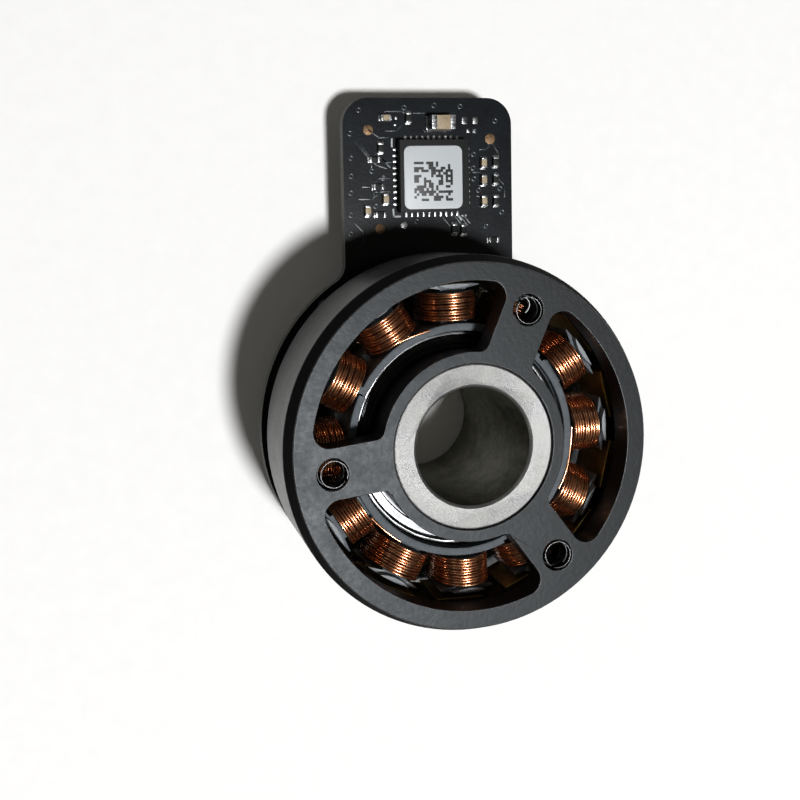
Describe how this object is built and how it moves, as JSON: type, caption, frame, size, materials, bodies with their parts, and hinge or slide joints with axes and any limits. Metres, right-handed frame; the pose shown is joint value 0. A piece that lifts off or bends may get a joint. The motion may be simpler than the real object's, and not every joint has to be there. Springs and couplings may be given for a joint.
{
  "type": "gimbal motor",
  "caption": "Low, wide hollow-shaft outrunner motor: black spoked bell over a copper-wound stator, on a thin circuit board whose tab carries the drive chip.",
  "frame": {"origin": "centre of the rear bolt circle on the base's mounting face", "axes": "+Z along the motor's axis towards the bell, +Y towards the end of the board's tab, +X to the right seen from the front"},
  "size_m": [0.0288, 0.0416, 0.0144],
  "materials": {
    "black_anodised_aluminium": "bead-blasted, black anodised",
    "black_steel": "black, smooth",
    "plated_magnet": "nickel-plated",
    "bright_steel": "bright",
    "blasted_steel": "bead-blasted",
    "bearing_steel": "ground and polished",
    "dark_steel": "black oxide",
    "cage_polymer": "moulded",
    "natural_aluminium": "fine turned",
    "lamination_steel": "punched edge",
    "coating": "powder-coated insulation",
    "enamelled_copper": "clear enamel over copper",
    "board_laminate": "solder mask on fibreglass",
    "chip_package": "moulded epoxy",
    "label_paper": "satin",
    "capacitor_ceramic": "sintered",
    "connector_plastic": "moulded"
  },
  "bodies": {
    "stator": {"stator_base": "natural_aluminium", "front_outer_race": "bearing_steel", "rear_outer_race": "bearing_steel", "front_shields": "bright_steel", "rear_shields": "bright_steel", "stator_core": "lamination_steel", "front_end_insulator": "coating", "rear_end_insulator": "coating", "phase_a_coils": "enamelled_copper", "phase_b_coils": "enamelled_copper", "phase_c_coils": "enamelled_copper", "phase_a_turns": "enamelled_copper", "phase_b_turns": "enamelled_copper", "phase_c_turns": "enamelled_copper", "phase_leads": "enamelled_copper", "circuit_board": "board_laminate", "controller_chip": "chip_package", "chip_label": "label_paper", "supply_capacitor": "capacitor_ceramic", "small_capacitors": "capacitor_ceramic", "chip_resistors": "chip_package", "position_sensors": "chip_package", "rear_connector": "connector_plastic", "board_screws": "dark_steel"},
    "rotor": {"bell": "black_anodised_aluminium", "flux_ring": "black_steel", "rotor_magnets": "plated_magnet", "thread_inserts": "bright_steel", "hollow_shaft": "blasted_steel", "front_inner_race": "bearing_steel", "rear_inner_race": "bearing_steel", "wave_washer": "bright_steel", "retaining_ring": "dark_steel"},
    "front_ball_set": {"front_balls": "bearing_steel", "front_ball_cage": "cage_polymer"},
    "rear_ball_set": {"rear_balls": "bearing_steel", "rear_ball_cage": "cage_polymer"}
  },
  "joints": [
    {"name": "rotor_spin", "type": "hinge", "parent": "stator", "child": "rotor", "pos_m": [0, 0, 0], "axis": [0, 0, 1], "continuous": true},
    {"name": "front_cage_spin", "type": "hinge", "parent": "stator", "child": "front_ball_set", "pos_m": [0, 0, 0], "axis": [0, 0, 1], "continuous": true},
    {"name": "rear_cage_spin", "type": "hinge", "parent": "stator", "child": "rear_ball_set", "pos_m": [0, 0, 0], "axis": [0, 0, 1], "continuous": true}
  ],
  "couplings": [
    {"joint": "front_cage_spin", "follows": "rotor_spin", "ratio": 0.4607},
    {"joint": "rear_cage_spin", "follows": "rotor_spin", "ratio": 0.4607}
  ]
}
